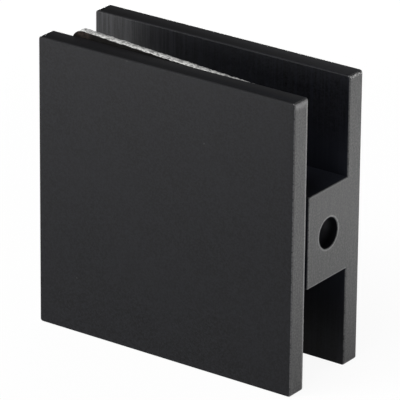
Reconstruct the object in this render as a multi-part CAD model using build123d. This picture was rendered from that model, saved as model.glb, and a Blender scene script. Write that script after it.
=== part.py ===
from build123d import *
import os

# Square glass clamp for a wall: a rear plate with a block, a front plate drawn onto it by one screw,
# and a gasket pad. Lengths are in millimetres.
# X runs to the wall, Y from the front to the rear, Z up.
# The origin is on the wall face, at the axis of the wall-screw hole.

# Plates
plate_size = 50.0
plate_thickness = 3.6
plate_corner = 0.5
edge_round = 0.25

# Block on the rear plate, which reaches through the notch in the glass
block_length = 27.0
block_height = 15.8
block_depth = 10.85
front_plate_gap = 0.75

# Wall-screw hole through the block, with its seat and the channel for the screw's head
wall_hole_diameter = 5.2
wall_hole_setback = 5.2
wall_hole_land = 8.0
wall_hole_edge_break = 0.1
channel_wall = 1.0

# Clamp screw
thread_diameter = 6.0
thread_clearance = 0.05
shank_clearance = 0.2
head_diameter = 11.6
head_land = 0.3
head_recess = 0.15
head_clearance = 0.15
socket_across_flats = 4.0
socket_depth = 2.0
socket_edge_break = 0.3
tip_chamfer = 0.6
tip_room = 1.15
screw_inset = 9.0

# Boss on the front plate, keyed in a pocket of the block
boss_length = 5.0
boss_thread_wall = 1.8
boss_corner = 2.5
boss_clearance = 0.2
pocket_wall = 1.8
pocket_end_room = 1.0
face_skin = 1.5

# Gasket pad on the front plate, set by hand: turned, raised and shifted away from the wall
gasket_thickness = 1.5
gasket_side_margin = 3.3
gasket_end_margin = 1.0
gasket_corner = 2.3
gasket_notch_room = 2.0
gasket_notch_corner = 1.0
gasket_tilt = 3.3
gasket_raise = 1.05
gasket_shift = 0.7

# Places along Y, from the rear to the front
rear_outer_y = wall_hole_setback + plate_thickness
rear_inner_y = wall_hole_setback
block_front_y = rear_inner_y - block_depth
front_inner_y = block_front_y - front_plate_gap
tapped_end_y = front_inner_y - (plate_thickness - face_skin)
boss_end_y = front_inner_y + boss_length
gasket_rear_y = front_inner_y + gasket_thickness

# Places along X and derived sizes
screw_x = screw_inset - block_length
channel_radius = block_depth - wall_hole_setback - channel_wall
boss_width = thread_diameter + 2 * boss_thread_wall
boss_height = block_height - 2 * (pocket_wall + boss_clearance)
screw_axis = Axis((screw_x, 0, 0), (0, 1, 0))


def facing_front(y, x=0.0, z=0.0):
    """A drawing plane at depth y that looks to the front: drawn x and y are X and Z."""
    return Plane(origin=(x, y, z), x_dir=(1, 0, 0), z_dir=(0, -1, 0))


def turned_about_screw(points):
    """A solid of revolution about the screw's axis, from (radius, y) points."""
    outline = Polyline([(screw_x + radius, y) for radius, y in points], close=True)
    return revolve(make_face(outline), screw_axis)


def square_plate(rear_y):
    """A square plate with rounded corners and eased edges, its rear face at rear_y."""
    outline = RectangleRounded(plate_size, plate_size, plate_corner)
    plate = extrude(facing_front(rear_y, -plate_size / 2) * outline, plate_thickness)
    faces = plate.faces().sort_by(Axis.Y)
    return fillet(faces[0].edges() + faces[-1].edges(), edge_round)


def block():
    """The block, rooted in the middle of the rear plate and flush with its wall-side edge."""
    root = plate_thickness / 2
    outline = Rectangle(block_length, block_height)
    body = extrude(facing_front(rear_inner_y + root, -block_length / 2) * outline, block_depth + root)
    rear_face = body.faces().sort_by(Axis.Y)[-1]
    eased = body.edges() - rear_face.edges()
    return fillet(eased, edge_round)


def wall_screw_hole():
    """The wall-screw hole: eased rim, plain land, conical seat and the channel for the head."""
    radius = wall_hole_diameter / 2
    seat_end = -wall_hole_land - (channel_radius - radius)
    outline = Polyline(
        (0, 0),
        (0, radius + wall_hole_edge_break),
        (-wall_hole_edge_break, radius),
        (-wall_hole_land, radius),
        (seat_end, channel_radius),
        (-block_length, channel_radius),
        (-block_length, 0),
        close=True,
    )
    return revolve(make_face(outline), Axis.X)


def clamp_screw_hole():
    """The countersunk hole for the clamp screw, through the rear plate and the block."""
    mouth = head_diameter / 2 + head_clearance
    shank = thread_diameter / 2 + shank_clearance
    cone_start_y = rear_outer_y - head_recess - head_land
    return turned_about_screw([
        (0, rear_outer_y),
        (mouth, rear_outer_y),
        (mouth, cone_start_y),
        (shank, cone_start_y - (mouth - shank)),
        (shank, block_front_y),
        (0, block_front_y),
    ])


def boss_pocket():
    """The pocket in the block's front end that keys the boss and stops the front plate from turning."""
    outline = RectangleRounded(
        boss_width + 2 * boss_clearance,
        boss_height + 2 * boss_clearance,
        boss_corner + boss_clearance,
    )
    floor_y = block_front_y + boss_length + pocket_end_room
    return extrude(facing_front(floor_y, screw_x) * outline, floor_y - block_front_y)


def rear_plate():
    """The rear plate and its block, in one piece."""
    body = square_plate(rear_outer_y) + block()
    return body - wall_screw_hole() - clamp_screw_hole() - boss_pocket()


def front_plate():
    """The front plate, with the tapped boss on its inner face."""
    outline = RectangleRounded(boss_width, boss_height, boss_corner)
    boss = extrude(facing_front(boss_end_y, screw_x) * outline, boss_length)
    tapped_radius = thread_diameter / 2 + thread_clearance
    tapped_hole = turned_about_screw([
        (0, boss_end_y),
        (tapped_radius, boss_end_y),
        (tapped_radius, tapped_end_y),
        (0, tapped_end_y),
    ])
    return square_plate(front_inner_y) + boss - tapped_hole


def clamp_screw():
    """The countersunk screw with a hexagon socket, its tip in the front plate."""
    head = head_diameter / 2
    shank = thread_diameter / 2
    top_y = rear_outer_y - head_recess
    cone_start_y = top_y - head_land
    tip_y = tapped_end_y + tip_room
    body = turned_about_screw([
        (0, top_y),
        (head, top_y),
        (head, cone_start_y),
        (shank, cone_start_y - (head - shank)),
        (shank, tip_y + tip_chamfer),
        (shank - tip_chamfer, tip_y),
        (0, tip_y),
    ])
    rim = socket_across_flats / 2 + socket_edge_break
    rim_cone = turned_about_screw([
        (0, top_y),
        (rim, top_y),
        (0, top_y - rim),
    ])
    hexagon = RegularPolygon(socket_across_flats / 2, 6, major_radius=False)
    socket = extrude(facing_front(top_y, screw_x) * hexagon, socket_depth)
    return body - rim_cone - socket


def gasket():
    """The pad on the front plate's inner face, notched to go round the block."""
    width = plate_size - 2 * gasket_side_margin
    height = plate_size - 2 * gasket_end_margin
    centre_x = -plate_size / 2 - gasket_shift
    wall_edge = width / 2
    notch_reach = wall_edge + centre_x + block_length + gasket_notch_room
    notch_height = block_height + 2 * gasket_notch_room
    pad = RectangleRounded(width, height, gasket_corner)
    notch = Pos(wall_edge) * RectangleRounded(2 * notch_reach, notch_height, gasket_notch_corner)
    place = facing_front(gasket_rear_y, centre_x, gasket_raise) * Rot(0, 0, -gasket_tilt)
    return extrude(place * (pad - notch), gasket_thickness)


nodes = {
    "rear_plate": rear_plate(),
    "front_plate": front_plate(),
    "clamp_screw": clamp_screw(),
    "gasket": gasket(),
}

os.makedirs("parts", exist_ok=True)
for name, piece in nodes.items():
    export_step(piece, f"parts/{name}.step")
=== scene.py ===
import math

import bmesh
import bpy
from mathutils import Matrix, Vector, noise


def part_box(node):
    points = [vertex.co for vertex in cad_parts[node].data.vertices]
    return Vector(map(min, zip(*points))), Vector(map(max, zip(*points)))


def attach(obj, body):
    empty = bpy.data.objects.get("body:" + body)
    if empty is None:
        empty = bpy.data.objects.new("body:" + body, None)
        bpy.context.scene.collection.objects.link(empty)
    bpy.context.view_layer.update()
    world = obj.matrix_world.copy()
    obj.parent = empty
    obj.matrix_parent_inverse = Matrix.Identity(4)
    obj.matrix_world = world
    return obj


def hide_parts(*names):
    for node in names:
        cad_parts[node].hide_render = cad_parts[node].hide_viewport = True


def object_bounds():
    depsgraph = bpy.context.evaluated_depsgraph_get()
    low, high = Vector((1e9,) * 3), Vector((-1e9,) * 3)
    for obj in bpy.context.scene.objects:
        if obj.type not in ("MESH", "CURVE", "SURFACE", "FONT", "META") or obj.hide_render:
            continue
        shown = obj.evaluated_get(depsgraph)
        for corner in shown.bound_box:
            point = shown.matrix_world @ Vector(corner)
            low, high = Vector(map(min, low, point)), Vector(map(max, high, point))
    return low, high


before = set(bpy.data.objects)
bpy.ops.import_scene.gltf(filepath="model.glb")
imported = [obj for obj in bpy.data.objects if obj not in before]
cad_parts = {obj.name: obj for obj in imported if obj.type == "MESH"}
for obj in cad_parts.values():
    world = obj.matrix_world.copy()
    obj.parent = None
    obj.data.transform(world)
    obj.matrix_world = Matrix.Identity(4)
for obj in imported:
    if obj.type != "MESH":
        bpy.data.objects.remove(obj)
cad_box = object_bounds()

# Glass panel clamp: the finish of its two plates, its clamp screw and its gasket pad.
# X runs to the wall, Y from the front plate to the rear plate, Z up. Lengths are in metres.
MM = 0.001

# Camera, at the photograph's angle, for a picture of 400 by 400
PICTURE_PIXELS = 400
SENSOR_MM = 36.0
FOCAL_PIXELS = 4415.5
AZIMUTH = math.radians(35.51)
ELEVATION = math.radians(22.59)
ROLL = math.radians(0.53)
CAMERA_DISTANCE = 711.9 * MM
CAMERA_NEAR = 0.05
CAMERA_FAR = 50.0
AIM = Vector((-25.10, 0.11, -0.63)) * MM

# Floor and room
FLOOR_HALF_SIZE = 6.0
FLOOR_SEEN_GLOW = 0.93
FLOOR_MIRRORED_GLOW = 0.25
ROOM_LIGHT = 0.08

# Plates
PLATE_THICKNESS = 3.6 * MM

# Block and wall-screw hole. The reach is a little more than the radius of the channel behind the hole.
BLOCK_HEIGHT = 15.8 * MM
HOLE_RADIUS = 2.6 * MM
HOLE_EDGE_BREAK = 0.1 * MM
HOLE_REACH = 4.70 * MM

# Gasket pad, as cut, and its turn on the front plate
PAD_WIDTH = 43.4 * MM
PAD_HEIGHT = 48.0 * MM
PAD_CORNER = 2.3 * MM
PAD_NOTCH_REACH = 25.0 * MM
PAD_NOTCH_HEIGHT = 19.8 * MM
PAD_NOTCH_CORNER = 1.0 * MM
PAD_EDGE = 0.12 * MM
PAD_TURN = math.radians(3.3)
PAD_SLICE = 0.3 * MM
PAD_TEAR_UP = 0.10 * MM
PAD_TEAR_SIDEWAYS = 0.05 * MM
PAD_TEAR_SIZE = 0.45 * MM
PAD_TEAR_SEED = 7

# Clamp screw
SCREW_SIDES = 48
SCREW_PITCH = 1.0 * MM
SCREW_CREST_RADIUS = 3.0 * MM
SCREW_CREST_WIDTH = 0.14 * MM
SCREW_CORE_RADIUS = 2.45 * MM
SCREW_TIP_RADIUS = 2.4 * MM
SCREW_TIP_CHAMFER = 0.6 * MM
SCREW_NECK = 0.8 * MM
SCREW_RUN_OUT = 0.4 * MM
SCREW_HEAD_LAND = 0.3 * MM
SCREW_HEAD_EASE = 0.1 * MM
SCREW_SOCKET_FLATS = 4.0 * MM
SCREW_SOCKET_RIM = 2.4 * MM
SCREW_SOCKET_DEPTH = 2.0 * MM

# Mesh work
CORNER_SEGMENTS = 8
EDGE_SEGMENTS = 2
SHARP_ANGLE = math.radians(35.0)
CUT_TOLERANCE = 1e-7
MERGE_DISTANCE = 1e-6

# Satin finish: linear colours, from the coat up to what lies on it, with the painted light and highlights
COAT_DARK = (0.0003, 0.0003, 0.0006, 1)
COAT_LIGHT = (0.0064, 0.0068, 0.0086, 1)
COAT_CLOUD = (0.0052, 0.0056, 0.0074, 1)
BRUSH_LINE = (0.0070, 0.0085, 0.0160, 1)
# Lighter tone on the inner and level faces near the block, between the plates
SLOT_LIGHTER_TONE = (0.0128, 0.0142, 0.0205, 1)
# Dust on the top faces, with painted shade where it fades towards the wall end
END_DUST_AND_SHADE = (0.0136, 0.0134, 0.0142, 1)
# Painted light deep in the wall-screw hole's bore
BORE_PAINTED_LIGHT = (0.140, 0.142, 0.155, 1)
SIDE_SPECKLE = (0.056, 0.055, 0.053, 1)
# Painted highlight on the rounded rims
RIM_PAINTED_HIGHLIGHT = (0.10, 0.10, 0.103, 1)
# Painted highlight on the side faces' edges: the front plate's back edge and top end, the block end's
# edges and the hole's rim
EDGE_PAINTED_HIGHLIGHT = (0.28, 0.28, 0.285, 1)
# Painted highlight at the top of the rear plate's side faces
TOP_CORNER_PAINTED_HIGHLIGHT = (0.62, 0.62, 0.62, 1)
DUST_SPECK = (0.03, 0.03, 0.03, 1)

# Satin finish: sizes of its patterns
COAT_GRAIN_SIZE = 0.30 * MM
COAT_CLOUD_SIZE = 9.0 * MM
COAT_BUMP = 0.012 * MM
FINE_BRUSH_SIZE = 0.14 * MM
COARSE_BRUSH_SIZE = 0.42 * MM
BRUSH_STRETCH = 50.0
SPECKLE_SIZE = 0.32 * MM
STREAK_SIZE = 0.42 * MM
STREAK_STRETCH = 8.0
DUST_SPACING = 2.5 * MM
DUST_RADIUS = 0.13 * MM
DUST_SHARE = 0.12

# Satin finish: how squarely a face or a rounded edge lies, and the depth of a face's mask
FACING = (0.6, 0.95)
LEVEL_BRUSHING = (0.4, 0.8)
ROUNDED = (0.93, 0.995)
FACE_ROOM = 0.4 * MM
PLATE_ROOM = 0.1 * MM

# Satin finish: strength of the painted highlights at the edges
TOP_END_STRENGTH = 0.9
BLOCK_STRENGTH = 0.4
HOLE_STRENGTH = 0.6

# Satin finish: far and near ends of the stretches that run up to an edge or away from it
HOLE_MOUTH = (3.0 * MM, 1.0 * MM)
SLOT_TONE_REACH = (10.0 * MM, 1.0 * MM)
WALL_END = (26.0 * MM, 0.0)
FREE_END = (26.0 * MM, 8.0 * MM)
END_POLISH = (0.8 * PLATE_THICKNESS, 0.1 * PLATE_THICKNESS)
# Reaches of the painted edge highlights
BACK_EDGE_HIGHLIGHT = (0.6 * MM, 0.25 * MM)
TOP_END_HIGHLIGHT = (1.6 * MM, 0.3 * MM)
TOP_CORNER_HIGHLIGHT_REACH = (0.75 * MM, 0.35 * MM)
BLOCK_EDGE_HIGHLIGHT = (0.45 * MM, 0.15 * MM)
HOLE_EDGE_HIGHLIGHT = (0.45 * MM, 0.25 * MM)

# Blackened steel: linear colours, sizes of its patterns, and where its edges are rubbed
STEEL_DARK = (0.010, 0.010, 0.011, 1)
STEEL_LIGHT = (0.026, 0.025, 0.024, 1)
STEEL_RUBBED = (0.20, 0.195, 0.185, 1)
STEEL_RING_SIZE = 0.09 * MM
STEEL_GRAIN_SIZE = 0.15 * MM
STEEL_CLOUD_SIZE = 2.5 * MM
STEEL_BUMP = 0.004 * MM
HEAD_TOP = (0.5 * MM, 0.1 * MM)
HEAD_RIM_WEAR = (0.25 * MM, 0.0)
SOCKET_RIM_WEAR = (0.25 * MM, 0.05 * MM)

# Rubber: linear colours, sizes of its patterns, and the scuff near the raised corner
RUBBER_DARK = (0.0012, 0.0010, 0.0008, 1)
RUBBER_LIGHT = (0.0050, 0.0042, 0.0034, 1)
RUBBER_SCUFF = (0.034, 0.024, 0.020, 1)
# Painted highlight on the pad's up-facing top edge, from grey to light
TOP_EDGE_HIGHLIGHT_GREY = (0.15, 0.15, 0.15, 1)
TOP_EDGE_HIGHLIGHT_PALE = (0.82, 0.82, 0.80, 1)
RUBBER_GRAIN_SIZE = 0.3 * MM
TORN_SIZE = 0.42 * MM
TORN_STRETCH = 1.3
FLECK_SIZE = 0.16 * MM
RUBBER_BUMP = 0.03 * MM
CUT_FRONT = 0.35 * MM
SCUFF_FROM_SIDE = 4.6 * MM
SCUFF_WIDTH = (2.4 * MM, 0.6 * MM)
SCUFF_HEIGHT = (1.5 * MM, 0.5 * MM)

front_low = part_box("front_plate")[0]
rear_low, rear_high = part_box("rear_plate")
pad_low, pad_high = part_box("gasket")
screw_low, screw_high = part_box("clamp_screw")


class Link:
    """An output socket of a node tree. Arithmetic on it adds Math nodes."""

    def __init__(self, tree, socket):
        self.tree = tree
        self.socket = socket

    def maths(self, operation, first, second=0.0):
        return add_node(self.tree, "ShaderNodeMath", {"operation": operation}, {0: first, 1: second})

    def __add__(self, other):
        return self.maths("ADD", self, other)

    def __radd__(self, other):
        return self.maths("ADD", other, self)

    def __sub__(self, other):
        return self.maths("SUBTRACT", self, other)

    def __rsub__(self, other):
        return self.maths("SUBTRACT", other, self)

    def __mul__(self, other):
        return self.maths("MULTIPLY", self, other)

    def __rmul__(self, other):
        return self.maths("MULTIPLY", other, self)

    def __pow__(self, other):
        return self.maths("POWER", self, other)

    def __abs__(self):
        return self.maths("ABSOLUTE", self)

    def __gt__(self, other):
        return self.maths("GREATER_THAN", self, other)

    def __lt__(self, other):
        return self.maths("LESS_THAN", self, other)

    def maximum(self, other):
        return self.maths("MAXIMUM", self, other)

    def smooth(self, low, high):
        """0 below low, 1 above high, smooth between."""
        return add_node(self.tree, "ShaderNodeMapRange", {"interpolation_type": "SMOOTHSTEP"},
                        {"Value": self, "From Min": low, "From Max": high})

    def up_to(self, edge, reach):
        """Rises from 0 to 1 below an edge, over the far and near distances of the reach."""
        far, near = reach
        return self.smooth(edge - far, edge - near)

    def past(self, edge, reach):
        """Falls from 1 to 0 above an edge, over the near and far distances of the reach."""
        far, near = reach
        return 1.0 - self.smooth(edge + near, edge + far)


def feed(tree, socket, value):
    """Links a value to an input socket, or sets it there if it is a plain number or colour."""
    if isinstance(value, Link):
        tree.links.new(value.socket, socket)
    else:
        socket.default_value = value


def add_node(tree, kind, settings=None, inputs=None, output=0):
    """Adds a node, sets it up, feeds its sockets and returns one of its outputs."""
    made = tree.nodes.new(kind)
    for name, value in (settings or {}).items():
        setattr(made, name, value)
    for key, value in (inputs or {}).items():
        feed(tree, made.inputs[key], value)
    return Link(tree, made.outputs[output])


class Finish:
    """A material under construction: its tree, its shader and the patterns that finishes share."""

    def __init__(self, name):
        self.material = bpy.data.materials.new(name)
        self.material.use_nodes = True
        self.tree = self.material.node_tree
        self.shader = self.tree.nodes["Principled BSDF"]
        self.place = self.node("ShaderNodeTexCoord", output="Object")
        self.facing = self.node("ShaderNodeTexCoord", output="Normal")

    def node(self, kind, settings=None, inputs=None, output=0):
        return add_node(self.tree, kind, settings, inputs, output)

    def set(self, **values):
        """Sets or feeds the shader's sockets, named with _ for a space."""
        for key, value in values.items():
            feed(self.tree, self.shader.inputs[key.replace("_", " ")], value)

    def parts(self, vector):
        """The three components of a vector."""
        first = self.node("ShaderNodeSeparateXYZ", {}, {0: vector})
        return [Link(self.tree, socket) for socket in first.socket.node.outputs]

    def grain(self, size, detail, stretch=(1.0, 1.0, 1.0)):
        """Noise with features of about size, drawn out along the axes where stretch is over 1."""
        scale = tuple(1.0 / (size * s) for s in stretch)
        mapped = self.node("ShaderNodeMapping", {}, {"Vector": self.place, "Scale": scale})
        return self.node("ShaderNodeTexNoise", {}, {"Vector": mapped, "Scale": 1.0, "Detail": detail})

    def specks(self, spacing, radius, share):
        """A mask of scattered round specks, in a share of the cells of that spacing."""
        cell = {"Vector": self.place, "Scale": 1.0 / spacing}
        distance = self.node("ShaderNodeTexVoronoi", {}, cell, "Distance")
        chance = self.parts(self.node("ShaderNodeTexVoronoi", {}, cell, "Color"))[0]
        return (distance < radius / spacing) * (chance < share)

    def mix(self, factor, first, second):
        """A colour between two others."""
        inputs = {"Factor": factor, 6: first, 7: second}
        return self.node("ShaderNodeMix", {"data_type": "RGBA"}, inputs, 2)

    def bump(self, height, depth):
        """Relief of a depth on the surface, where height runs from 0 to 1."""
        inputs = {"Strength": 1.0, "Distance": depth, "Height": height}
        self.set(Normal=self.node("ShaderNodeBump", {}, inputs))


class PlatePlaces:
    """The places on the plates and the block that differ in finish or carry painted light, shade or
    highlights, as masks from 0 to 1.
    """

    def __init__(self, finish):
        across, along, up = (abs(part) for part in finish.parts(finish.facing))
        x, y, z = finish.parts(finish.place)
        height = abs(z)
        radius = (y * y + z * z) ** 0.5
        half_width = (rear_high.x - rear_low.x) / 2
        half_block = BLOCK_HEIGHT / 2
        rear_inner_y = rear_high.y - PLATE_THICKNESS

        # Faces
        outer = (y < front_low.y + FACE_ROOM) + (y > rear_high.y - FACE_ROOM)
        level = up.smooth(*FACING)
        self.up = up
        self.brushed = 1.0 - 0.85 * outer
        self.side = across.smooth(*FACING)
        self.inner = along.smooth(*FACING) * (1.0 - outer)
        self.end_face = level * (height > rear_high.z - FACE_ROOM)
        self.bore = (radius < HOLE_REACH) * (x < -HOLE_EDGE_BREAK)
        # Deep in the bore, away from its mouth, where painted light goes
        self.bore_painted_light = self.bore * (1.0 - x.up_to(0.0, HOLE_MOUTH))
        near_block = height.past(half_block, SLOT_TONE_REACH)
        # Inner and level faces near the block, made lighter in the colour
        self.slot = self.inner.maximum(level) * near_block * (1.0 - self.bore)

        # Stretches of a plate: depth runs from its front face to its back
        depth = y - front_low.y - (y > 0.0) * (rear_inner_y - front_low.y)
        self.end_back = depth.up_to(PLATE_THICKNESS, END_POLISH)
        # Rises towards the wall end, where the lamp lights the top faces most; the dust colour and the
        # coat fade there as painted shade
        self.wall_end_shade = x.up_to(rear_high.x, WALL_END)
        self.free_end = x.past(rear_low.x, FREE_END)

        # Edges
        self.rounded = 1.0 - across.maximum(along).maximum(up).smooth(*ROUNDED)
        self.at_side = abs(x - (rear_low.x + half_width)) > half_width - FACE_ROOM
        on_front = y < front_low.y + PLATE_THICKNESS + PLATE_ROOM
        on_block = (y > rear_low.y) * (y < rear_inner_y) * (height < half_block)
        back_edge = depth.up_to(PLATE_THICKNESS, BACK_EDGE_HIGHLIGHT)
        top_end = z.up_to(rear_high.z, TOP_END_HIGHLIGHT)
        front_edge = y.past(rear_low.y, BLOCK_EDGE_HIGHLIGHT)
        level_edge = height.up_to(half_block, BLOCK_EDGE_HIGHLIGHT)
        # Painted highlights along these edges of the side faces
        plate_highlight = on_front * back_edge.maximum(TOP_END_STRENGTH * top_end)
        block_highlight = BLOCK_STRENGTH * on_block * front_edge.maximum(level_edge)
        hole_highlight = HOLE_STRENGTH * on_block * radius.past(HOLE_RADIUS, HOLE_EDGE_HIGHLIGHT)
        self.edge_highlight = plate_highlight.maximum(block_highlight).maximum(hole_highlight)
        # Top of the rear plate's side faces, where a bright painted highlight goes
        self.top_corner_highlight = z.up_to(rear_high.z, TOP_CORNER_HIGHLIGHT_REACH) * (y > rear_inner_y)


def satin_black():
    """Black satin coat on the plates: fine grain, brush lines between the plates and painted highlights on
    the edges and rims.
    """
    finish = Finish("satin_black")
    places = PlatePlaces(finish)
    grain = finish.grain(COAT_GRAIN_SIZE, 3.0)
    lines = brush_lines(finish, places.up)
    # Masks of the rounded rims, which carry a painted highlight in the colour
    rim = places.rounded * (1.0 - places.bore) * grain.smooth(0.2, 0.6)
    side_rim = rim * places.at_side
    marks = (0.06 + 0.26 * places.free_end) * lines.smooth(0.40, 0.62)
    polish = 0.65 * places.end_face * (1.0 - 0.6 * places.wall_end_shade) * places.end_back
    finish.set(
        Base_Color=satin_colour(finish, places, grain, lines, rim, side_rim),
        Metallic=0.04 * rim + 0.26 * side_rim,
        Roughness=0.37 + 0.18 * grain + 0.16 * (lines - 0.5) * places.brushed + 0.4 * (rim - side_rim),
        Specular_IOR_Level=0.17,
        Coat_Weight=(0.9 * places.side).maximum(side_rim) + places.inner * (0.14 + marks) + polish,
        Coat_Roughness=0.42,
    )
    finish.bump(grain * (0.25 + 0.75 * places.side) + 0.4 * lines * places.brushed, COAT_BUMP)
    return finish.material


def brush_lines(finish, up):
    """Fine and coarse brush marks, upright on the upright faces and along X on the level ones."""
    upright, level = (
        0.5 * (finish.grain(FINE_BRUSH_SIZE, 2.0, stretch) + finish.grain(COARSE_BRUSH_SIZE, 2.0, stretch))
        for stretch in ((1.0, 1.0, BRUSH_STRETCH), (BRUSH_STRETCH, 1.0, 1.0))
    )
    share = up.smooth(*LEVEL_BRUSHING)
    return finish.node("ShaderNodeMix", {}, {"Factor": share, 2: upright, 3: level})


def satin_colour(finish, places, grain, lines, rim, side_rim):
    """The plates' colour: the grained coat, then what lies on it and the painted light, shade and
    highlights, one over another.
    """
    cloud = finish.grain(COAT_CLOUD_SIZE, 3.0)
    streaks = finish.grain(STREAK_SIZE, 3.0, (1.0, 1.0, STREAK_STRETCH))
    speckle = 0.75 * finish.grain(SPECKLE_SIZE, 4.0) + 0.25 * streaks
    dust = finish.specks(DUST_SPACING, DUST_RADIUS, DUST_SHARE)
    # Painted highlights on the side faces' edges, broken up by the grain
    highlit_edges = places.side * places.edge_highlight * (0.4 + 0.6 * grain.smooth(0.25, 0.6))
    layers = [
        (0.3 * cloud.smooth(0.3, 0.7), COAT_CLOUD),
        (0.30 * lines.smooth(0.42, 0.62) * places.brushed, BRUSH_LINE),
        # Lighter tone near the block, between the plates
        (0.8 * places.slot, SLOT_LIGHTER_TONE),
        # Dust on the top faces, faded towards the wall end as painted shade against the lamp light there
        (0.5 * places.end_face * (1.0 - places.wall_end_shade), END_DUST_AND_SHADE),
        # Painted light deep in the wall-screw hole's bore
        (places.bore_painted_light, BORE_PAINTED_LIGHT),
        (places.side * speckle.smooth(0.40, 0.66), SIDE_SPECKLE),
        # Painted highlight on the rounded rims, strongest on the side faces
        (0.10 * rim + 0.50 * side_rim, RIM_PAINTED_HIGHLIGHT),
        (highlit_edges, EDGE_PAINTED_HIGHLIGHT),
        # Bright painted highlight at the top of the rear plate's side faces
        (places.side * places.top_corner_highlight * grain.smooth(0.42, 0.58), TOP_CORNER_PAINTED_HIGHLIGHT),
        (0.8 * dust, DUST_SPECK),
    ]
    colour = finish.mix(grain.smooth(0.3, 0.7), COAT_DARK, COAT_LIGHT)
    for share, layer in layers:
        colour = finish.mix(share, colour, layer)
    return colour


def blackened_steel():
    """Blackened steel of the clamp screw, with turned rings and rubbed edges on the head."""
    finish = Finish("blackened_steel")
    x, y, z = finish.parts(finish.place)
    axis = (screw_low + screw_high) / 2
    off_x = x - axis.x
    off_z = z - axis.z
    radius = (off_x * off_x + off_z * off_z) ** 0.5
    ring_place = finish.node("ShaderNodeCombineXYZ", {}, {0: radius * (1.0 / STEEL_RING_SIZE)})
    rings = finish.node("ShaderNodeTexNoise", {}, {"Vector": ring_place, "Scale": 1.0, "Detail": 2.0})
    grain = finish.grain(STEEL_GRAIN_SIZE, 3.0)
    cloud = finish.grain(STEEL_CLOUD_SIZE, 3.0)
    near_top = y.up_to(screw_high.y, HEAD_TOP)
    outer_rim = radius.up_to(screw_high.x - axis.x, HEAD_RIM_WEAR)
    socket_rim = abs(radius - SCREW_SOCKET_RIM).past(0.0, SOCKET_RIM_WEAR)
    rubbed = (outer_rim + socket_rim) * near_top * grain.smooth(0.35, 0.7)
    coat = finish.mix(cloud.smooth(0.3, 0.75), STEEL_DARK, STEEL_LIGHT)
    finish.set(
        Base_Color=finish.mix(0.6 * rubbed, coat, STEEL_RUBBED),
        Metallic=0.35 + 0.5 * rubbed,
        Roughness=0.32 + 0.12 * grain + 0.10 * rings,
    )
    finish.bump(0.4 * grain + rings, STEEL_BUMP)
    return finish.material


def gasket_rubber():
    """Brown-black rubber, torn where the pad's top edge was cut and scuffed near its corner, with a
    painted highlight, grey to light, on that top edge where it faces up.
    """
    finish = Finish("gasket_rubber")
    up = finish.parts(finish.facing)[2]
    x, depth, z = finish.parts(finish.place)
    grain = finish.grain(RUBBER_GRAIN_SIZE, 4.0)
    torn = finish.grain(TORN_SIZE, 3.0, (TORN_STRETCH, 1.0, 1.0))
    flecks = finish.grain(FLECK_SIZE, 2.0)
    # Where the pad faces up, on its cut top edge: the painted highlight goes there
    cut = up.smooth(0.80, 0.95)
    # The painted highlight is brightest at the front of the top edge and fades towards the back
    highlight_fade_back = depth.smooth(pad_low.y + CUT_FRONT, pad_high.y)
    bright = torn.smooth(0.30, 0.62) * (1.0 - 0.55 * highlight_fade_back) + 0.25 * (flecks - 0.5)
    top_edge_highlight = finish.mix(bright, TOP_EDGE_HIGHLIGHT_GREY, TOP_EDGE_HIGHLIGHT_PALE)
    rubber = finish.mix(grain, RUBBER_DARK, RUBBER_LIGHT)
    raised = z.up_to(pad_high.z, SCUFF_HEIGHT)
    near_corner = abs(x - (pad_low.x + SCUFF_FROM_SIDE)).past(0.0, SCUFF_WIDTH)
    scuff = raised * near_corner * torn.smooth(0.32, 0.58)
    scuffed = finish.mix(0.75 * scuff, rubber, RUBBER_SCUFF)
    finish.set(
        Base_Color=finish.mix(cut, scuffed, top_edge_highlight),
        Roughness=0.66 - 0.2 * cut * flecks,
        Specular_IOR_Level=0.08,
    )
    finish.bump(grain + 2.0 * torn * cut, RUBBER_BUMP)
    return finish.material


def new_piece(name, mesh, body, node, material):
    """A finished piece at the origin that stands for a solid of the frame."""
    for face in mesh.faces:
        face.smooth = True
    data = bpy.data.meshes.new(name)
    mesh.to_mesh(data)
    mesh.free()
    data.set_sharp_from_angle(angle=SHARP_ANGLE)
    data.materials.append(material)
    piece = bpy.data.objects.new(name, data)
    bpy.context.scene.collection.objects.link(piece)
    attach(piece, body)
    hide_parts(node)


def cut_mesh(mesh, point, normal, drop=False):
    """Cuts a whole mesh along a plane and may drop what lies on the normal's side."""
    whole = mesh.verts[:] + mesh.edges[:] + mesh.faces[:]
    bmesh.ops.bisect_plane(mesh, geom=whole, dist=CUT_TOLERANCE, plane_co=point, plane_no=normal,
                           clear_outer=drop)


def round_corners(mesh, corners, radius):
    """Rounds corners of a flat outline."""
    bmesh.ops.bevel(mesh, geom=corners, offset=radius, offset_type="OFFSET", affect="VERTICES",
                    segments=CORNER_SEGMENTS, profile=0.5, material=-1)


def pad_outline(mesh):
    """The pad's flat outline, notched on the wall side, with rounded corners."""
    half_width = PAD_WIDTH / 2
    half_height = PAD_HEIGHT / 2
    half_notch = PAD_NOTCH_HEIGHT / 2
    notch_end = half_width - PAD_NOTCH_REACH
    corners = [
        (-half_width, -half_height),
        (half_width, -half_height),
        (half_width, -half_notch),
        (notch_end, -half_notch),
        (notch_end, half_notch),
        (half_width, half_notch),
        (half_width, half_height),
        (-half_width, half_height),
    ]
    points = [mesh.verts.new((x, 0.0, z)) for x, z in corners]
    mesh.faces.new(points)
    outer = [points[i] for i in (0, 1, 6, 7)]
    inner = [points[i] for i in (2, 3, 4, 5)]
    round_corners(mesh, outer, PAD_CORNER)
    round_corners(mesh, inner, PAD_NOTCH_CORNER)


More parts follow.
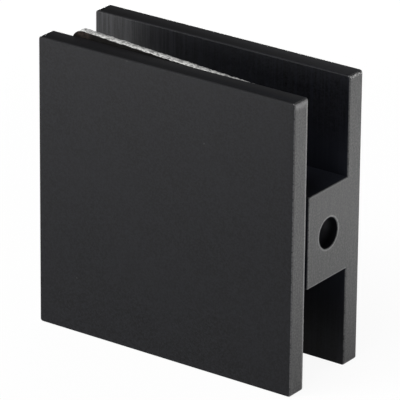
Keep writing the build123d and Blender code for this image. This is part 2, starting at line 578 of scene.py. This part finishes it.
def tear_top(mesh):
    """Roughens the pad's top edge as a torn cut."""
    top = PAD_HEIGHT / 2 - 2 * PAD_EDGE
    noise.seed_set(PAD_TEAR_SEED)
    for vert in mesh.verts:
        if vert.co.z > top:
            tear = noise.noise_vector(vert.co / PAD_TEAR_SIZE)
            vert.co.y += PAD_TEAR_SIDEWAYS * tear.y
            vert.co.z += PAD_TEAR_UP * tear.z


def gasket_pad(material):
    """The pad: cut from sheet, eased at its rims, with a torn top edge, turned on the front plate."""
    mesh = bmesh.new()
    pad_outline(mesh)
    thickness = pad_high.y - pad_low.y
    pushed = bmesh.ops.extrude_face_region(mesh, geom=mesh.faces[:])
    moved = [item for item in pushed["geom"] if isinstance(item, bmesh.types.BMVert)]
    bmesh.ops.translate(mesh, verts=moved, vec=(0.0, thickness, 0.0))
    bmesh.ops.recalc_face_normals(mesh, faces=mesh.faces[:])
    rims = [edge for edge in mesh.edges if edge.verts[0].co.y == edge.verts[1].co.y]
    bmesh.ops.bevel(mesh, geom=rims, offset=PAD_EDGE, offset_type="OFFSET", affect="EDGES",
                    segments=EDGE_SEGMENTS, profile=0.5, material=-1)
    slices = int(PAD_WIDTH / PAD_SLICE)
    for i in range(1, slices):
        cut_mesh(mesh, (-PAD_WIDTH / 2 + i * PAD_SLICE, 0.0, 0.0), (1.0, 0.0, 0.0))
    tear_top(mesh)
    centre = (pad_low + pad_high) / 2
    place = Matrix.Translation((centre.x, pad_low.y, centre.z)) @ Matrix.Rotation(PAD_TURN, 4, "Y")
    bmesh.ops.transform(mesh, matrix=place, verts=mesh.verts[:])
    new_piece("gasket_pad", mesh, "front", "gasket", material)


def cut_thread(mesh, low_y, high_y):
    """A right-hand thread round the Y axis, trimmed level at both ends."""
    flank = (SCREW_PITCH - SCREW_CREST_WIDTH) / 2
    start_y = low_y - 2 * SCREW_PITCH
    profile = [
        (SCREW_CORE_RADIUS, 0.0),
        (SCREW_CREST_RADIUS, flank),
        (SCREW_CREST_RADIUS, flank + SCREW_CREST_WIDTH),
        (SCREW_CORE_RADIUS, SCREW_PITCH),
    ]
    points = [mesh.verts.new((radius, start_y + rise, 0.0)) for radius, rise in profile]
    edges = [mesh.edges.new(pair) for pair in zip(points, points[1:])]
    turns = math.ceil((high_y - low_y) / SCREW_PITCH) + 3
    bmesh.ops.spin(mesh, geom=points + edges, cent=(0.0, 0.0, 0.0), axis=(0.0, 1.0, 0.0),
                   dvec=(0.0, SCREW_PITCH / SCREW_SIDES, 0.0), angle=2 * math.pi * turns,
                   steps=turns * SCREW_SIDES)
    bmesh.ops.remove_doubles(mesh, verts=mesh.verts[:], dist=MERGE_DISTANCE)
    cut_mesh(mesh, (0.0, low_y, 0.0), (0.0, -1.0, 0.0), drop=True)
    cut_mesh(mesh, (0.0, high_y, 0.0), (0.0, 1.0, 0.0), drop=True)


def open_rim(mesh, level):
    """The open edges of a turned mesh at a level."""
    return [
        edge for edge in mesh.edges
        if edge.is_boundary and all(abs(vert.co.y - level) < MERGE_DISTANCE for vert in edge.verts)
    ]


def next_ring(mesh, rim, place):
    """Extrudes an open rim to the radius and level that place gives for each angle."""
    pushed = bmesh.ops.extrude_edge_only(mesh, edges=rim)["geom"]
    points = {item for item in pushed if isinstance(item, bmesh.types.BMVert)}
    for point in points:
        angle = math.atan2(point.co.z, point.co.x)
        radius, level = place(angle)
        point.co = (radius * math.cos(angle), level, radius * math.sin(angle))
    return [edge for edge in mesh.edges if edge.verts[0] in points and edge.verts[1] in points]


def round_ring(mesh, rim, radius, level):
    """Extrudes an open rim to one radius and level all round."""
    return next_ring(mesh, rim, lambda angle: (radius, level))


def socket_reach(angle):
    """How far the hexagon socket's wall is from the axis at an angle."""
    sector = math.pi / 3
    off_flat = (angle + sector / 2) % sector - sector / 2
    return SCREW_SOCKET_FLATS / 2 / math.cos(off_flat)


def clamp_screw(material):
    """The clamp screw: a cut thread, a countersunk head and a hexagon socket, in one closed mesh."""
    axis = (screw_low + screw_high) / 2
    head = screw_high.x - axis.x
    tip_y = screw_low.y
    top_y = screw_high.y
    cone_top_y = top_y - SCREW_HEAD_LAND
    cone_low_y = cone_top_y - (head - SCREW_CREST_RADIUS)
    thread_low_y = tip_y + SCREW_TIP_CHAMFER
    thread_high_y = cone_low_y - SCREW_NECK
    mesh = bmesh.new()
    cut_thread(mesh, thread_low_y, thread_high_y)
    tip = round_ring(mesh, open_rim(mesh, thread_low_y), SCREW_TIP_RADIUS, tip_y)
    bmesh.ops.edgeloop_fill(mesh, edges=tip)
    rim = open_rim(mesh, thread_high_y)
    round_rings = [
        (SCREW_CREST_RADIUS, thread_high_y + SCREW_RUN_OUT),
        (SCREW_CREST_RADIUS, cone_low_y),
        (head, cone_top_y),
        (head, top_y - SCREW_HEAD_EASE),
        (head - SCREW_HEAD_EASE, top_y),
        (SCREW_SOCKET_RIM, top_y),
    ]
    for radius, level in round_rings:
        rim = round_ring(mesh, rim, radius, level)
    rim = next_ring(mesh, rim, lambda angle: (
        socket_reach(angle), top_y - (SCREW_SOCKET_RIM - socket_reach(angle))))
    rim = next_ring(mesh, rim, lambda angle: (socket_reach(angle), top_y - SCREW_SOCKET_DEPTH))
    bmesh.ops.edgeloop_fill(mesh, edges=rim)
    bmesh.ops.recalc_face_normals(mesh, faces=mesh.faces[:])
    bmesh.ops.translate(mesh, verts=mesh.verts[:], vec=(axis.x, 0.0, axis.z))
    new_piece("countersunk_screw", mesh, "screw", "clamp_screw", material)


def studio_floor():
    """A large white floor under the clamp that keeps its shadow."""
    data = bpy.data.meshes.new("floor")
    mesh = bmesh.new()
    bmesh.ops.create_grid(mesh, x_segments=1, y_segments=1, size=FLOOR_HALF_SIZE)
    mesh.to_mesh(data)
    mesh.free()
    data.transform(Matrix.Translation((0.0, 0.0, cad_box[0].z)))
    floor = bpy.data.objects.new("floor", data)
    bpy.context.scene.collection.objects.link(floor)
    data.materials.append(floor_white())


def floor_white():
    """White for the camera and for reflections, with the shadow left in."""
    finish = Finish("floor_white")
    finish.set(Base_Color=(0.95, 0.95, 0.95, 1), Roughness=0.9, Specular_IOR_Level=0.1)
    seen = finish.node("ShaderNodeLightPath", output="Is Camera Ray")
    mirrored = finish.node("ShaderNodeLightPath", output="Is Glossy Ray")
    through = finish.node("ShaderNodeLightPath", output="Is Transmission Ray")
    share = FLOOR_SEEN_GLOW * seen + FLOOR_MIRRORED_GLOW * (mirrored + through)
    glow = finish.node("ShaderNodeEmission", {}, {"Color": (1, 1, 1, 1), "Strength": 1.0})
    surface = Link(finish.tree, finish.shader.outputs[0])
    mixed = finish.node("ShaderNodeMixShader", {}, {0: share, 1: surface, 2: glow})
    finish.tree.links.new(mixed.socket, finish.tree.nodes["Material Output"].inputs["Surface"])
    return finish.material


def studio_world():
    """A dim plain room round the lamps."""
    world = bpy.data.worlds.new("studio")
    world.use_nodes = True
    background = world.node_tree.nodes["Background"]
    background.inputs["Color"].default_value = (1, 1, 1, 1)
    background.inputs["Strength"].default_value = ROOM_LIGHT
    bpy.context.scene.world = world


def soft_lamp(name, place, size, watts, target=AIM, spread=180.0, height=None):
    """An area lamp, square unless a height is given, that faces a target within the spread's angle."""
    lamp = bpy.data.lights.new(name, "AREA")
    lamp.shape = "RECTANGLE"
    lamp.size = size
    lamp.size_y = height or size
    lamp.energy = watts
    lamp.spread = math.radians(spread)
    holder = bpy.data.objects.new(name, lamp)
    holder.location = place
    holder.rotation_euler = (Vector(target) - Vector(place)).to_track_quat("-Z", "Y").to_euler()
    holder.visible_camera = False
    bpy.context.scene.collection.objects.link(holder)


def studio_camera():
    """The photograph's camera: its direction, distance, roll and lens."""
    camera = bpy.data.cameras.new("camera")
    camera.sensor_width = SENSOR_MM
    camera.lens = FOCAL_PIXELS * SENSOR_MM / PICTURE_PIXELS
    camera.clip_start = CAMERA_NEAR
    camera.clip_end = CAMERA_FAR
    holder = bpy.data.objects.new("camera", camera)
    back = Vector((
        math.sin(AZIMUTH) * math.cos(ELEVATION),
        -math.cos(AZIMUTH) * math.cos(ELEVATION),
        math.sin(ELEVATION),
    ))
    turn = (-back).to_track_quat("-Z", "Y").to_matrix().to_4x4()
    place = Matrix.Translation(AIM + CAMERA_DISTANCE * back)
    holder.matrix_world = place @ turn @ Matrix.Rotation(ROLL, 4, "Z")
    bpy.context.scene.collection.objects.link(holder)
    bpy.context.scene.camera = holder


def dress(node, material):
    """Gives a solid of the frame its finish."""
    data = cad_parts[node].data
    data.materials.clear()
    data.materials.append(material)


black = satin_black()
dress("rear_plate", black)
dress("front_plate", black)
clamp_screw(blackened_steel())
gasket_pad(gasket_rubber())

studio_floor()
studio_world()
soft_lamp("right_lamp", (0.085, 0.115, 0.03), size=0.12, watts=0.031)
soft_lamp("floor_lamp", (0.078, 0.104, 0.07), size=0.06, watts=0.034,
          target=(0.055, 0.073, -0.025), spread=80.0)
soft_lamp("top_lamp", (-0.25, -0.85, 1.10), size=1.2, watts=20.0)
soft_lamp("left_lamp", (-0.15, -0.194, 0.026), size=0.12, watts=0.327)
soft_lamp("back_lamp", (-0.055, 0.115, 0.065), size=0.05, watts=0.003)
soft_lamp("rear_lamp", (-0.16, 0.20, -0.002), size=0.14, watts=0.30,
          target=(-0.025, 0.0, -0.002), height=0.044)
studio_camera()
bpy.context.scene.view_settings.view_transform = "Standard"
